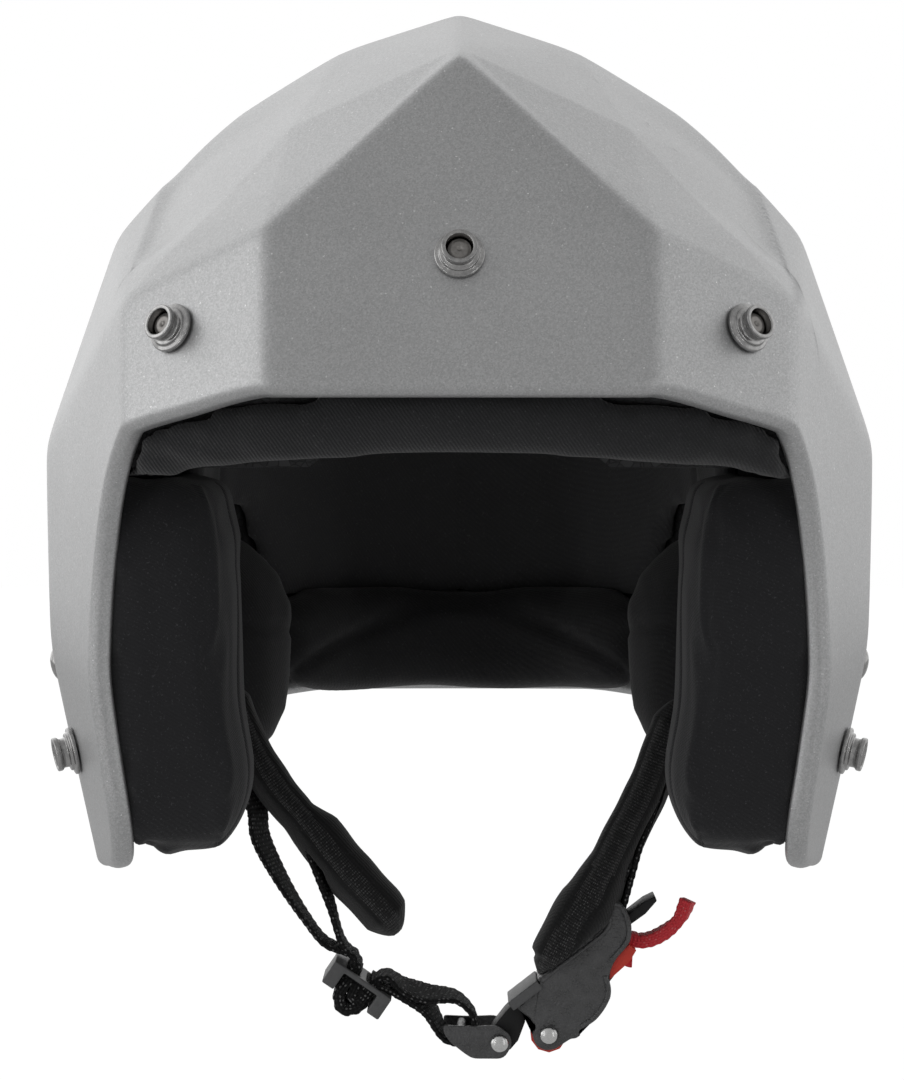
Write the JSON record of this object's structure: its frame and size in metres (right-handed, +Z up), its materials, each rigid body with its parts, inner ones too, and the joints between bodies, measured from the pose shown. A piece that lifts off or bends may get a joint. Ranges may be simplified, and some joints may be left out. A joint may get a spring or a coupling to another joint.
{
  "type": "open-face motorcycle helmet",
  "caption": "Open-face helmet with a faceted silver shell, visor snap studs, padded lining and a padded chin strap with a ratchet buckle.",
  "frame": {"origin": "middle of the wearer's head at ear level", "axes": "+Z up, -Y the way the wearer looks, +X to the wearer's left, which is image right"},
  "size_m": [0.2496, 0.2719, 0.3151],
  "materials": {
    "paint": "metallic silver lacquer under a clear coat, on a fibre composite shell",
    "foam": "black moulded bead foam",
    "knit": "black brushed knit over soft foam",
    "mesh": "black spacer mesh over soft foam",
    "webbing": "black woven polyester webbing",
    "nickel": "dark nickel plate",
    "steel": "plain steel",
    "coated": "black textured powder coat on steel",
    "polymer": "grey moulded polymer",
    "red": "red moulded polymer",
    "red_ribbon": "red woven ribbon"
  },
  "bodies": {
    "helmet": {"outer_shell": "paint", "foam_liner": "foam", "cheek_backing_left": "foam", "cheek_backing_right": "foam", "crown_lining": "knit", "brow_pad": "knit", "neck_roll": "knit", "cheek_pad_left": "knit", "cheek_pad_right": "knit", "neck_pad_left": "knit", "neck_pad_right": "knit", "stud_brow_centre": "nickel", "stud_brow_left": "nickel", "stud_brow_right": "nickel", "stud_side_left": "nickel", "stud_side_right": "nickel", "stud_rivet_brow_centre": "steel", "stud_rivet_brow_left": "steel", "stud_rivet_brow_right": "steel", "stud_rivet_side_left": "steel", "stud_rivet_side_right": "steel", "cheek_press_left_1": "steel", "cheek_press_left_2": "steel", "cheek_press_left_3": "steel", "cheek_press_right_1": "steel", "cheek_press_right_2": "steel", "cheek_press_right_3": "steel", "anchor_rivet_left": "steel", "anchor_rivet_right": "steel", "anchor_spacer_left": "steel", "anchor_spacer_right": "steel"},
    "right_strap": {"anchor_tab_right": "steel", "right_webbing": "webbing", "right_sleeve": "mesh", "buckle_body": "coated", "buckle_guide": "polymer", "lever_pin": "steel", "lever_spring": "steel"},
    "left_anchor": {"anchor_tab_left": "steel"},
    "tongue": {"tongue": "coated", "tongue_bracket": "coated", "tongue_rivet": "steel"},
    "left_strap": {"left_webbing": "webbing", "left_sleeve": "mesh", "strap_slider": "polymer"},
    "lever": {"release_lever": "red", "pull_tab": "red_ribbon"}
  },
  "joints": [
    {"name": "right_strap_swing", "type": "hinge", "parent": "helmet", "child": "right_strap", "pos_m": [0, 0.008, -0.019], "axis": [1, 0, 0], "range_deg": [-10, 10]},
    {"name": "left_anchor_swing", "type": "hinge", "parent": "helmet", "child": "left_anchor", "pos_m": [0, 0.008, -0.019], "axis": [1, 0, 0], "range_deg": [-10, 10]},
    {"name": "tongue_slide", "type": "slide", "parent": "right_strap", "child": "tongue", "axis": [-0.7923, 0, -0.6101], "range_m": [0, 0.055]},
    {"name": "left_strap_swing", "type": "hinge", "parent": "left_anchor", "child": "left_strap", "pos_m": [-0.10887, 0.008, -0.03319], "axis": [0, 1, 0], "range_deg": [0, 21.9]},
    {"name": "lever_press", "type": "hinge", "parent": "right_strap", "child": "lever", "pos_m": [0.0267, 0.008, -0.12955], "axis": [0, 1, 0], "range_deg": [0, 25], "stiffness_Nm_per_rad": 0.05, "springref_deg": -17.19}
  ],
  "couplings": [
    {"joint": "left_anchor_swing", "follows": "right_strap_swing", "ratio": 1},
    {"joint": "left_strap_swing", "follows": "tongue_slide", "rad_per_m": 6.937}
  ]
}
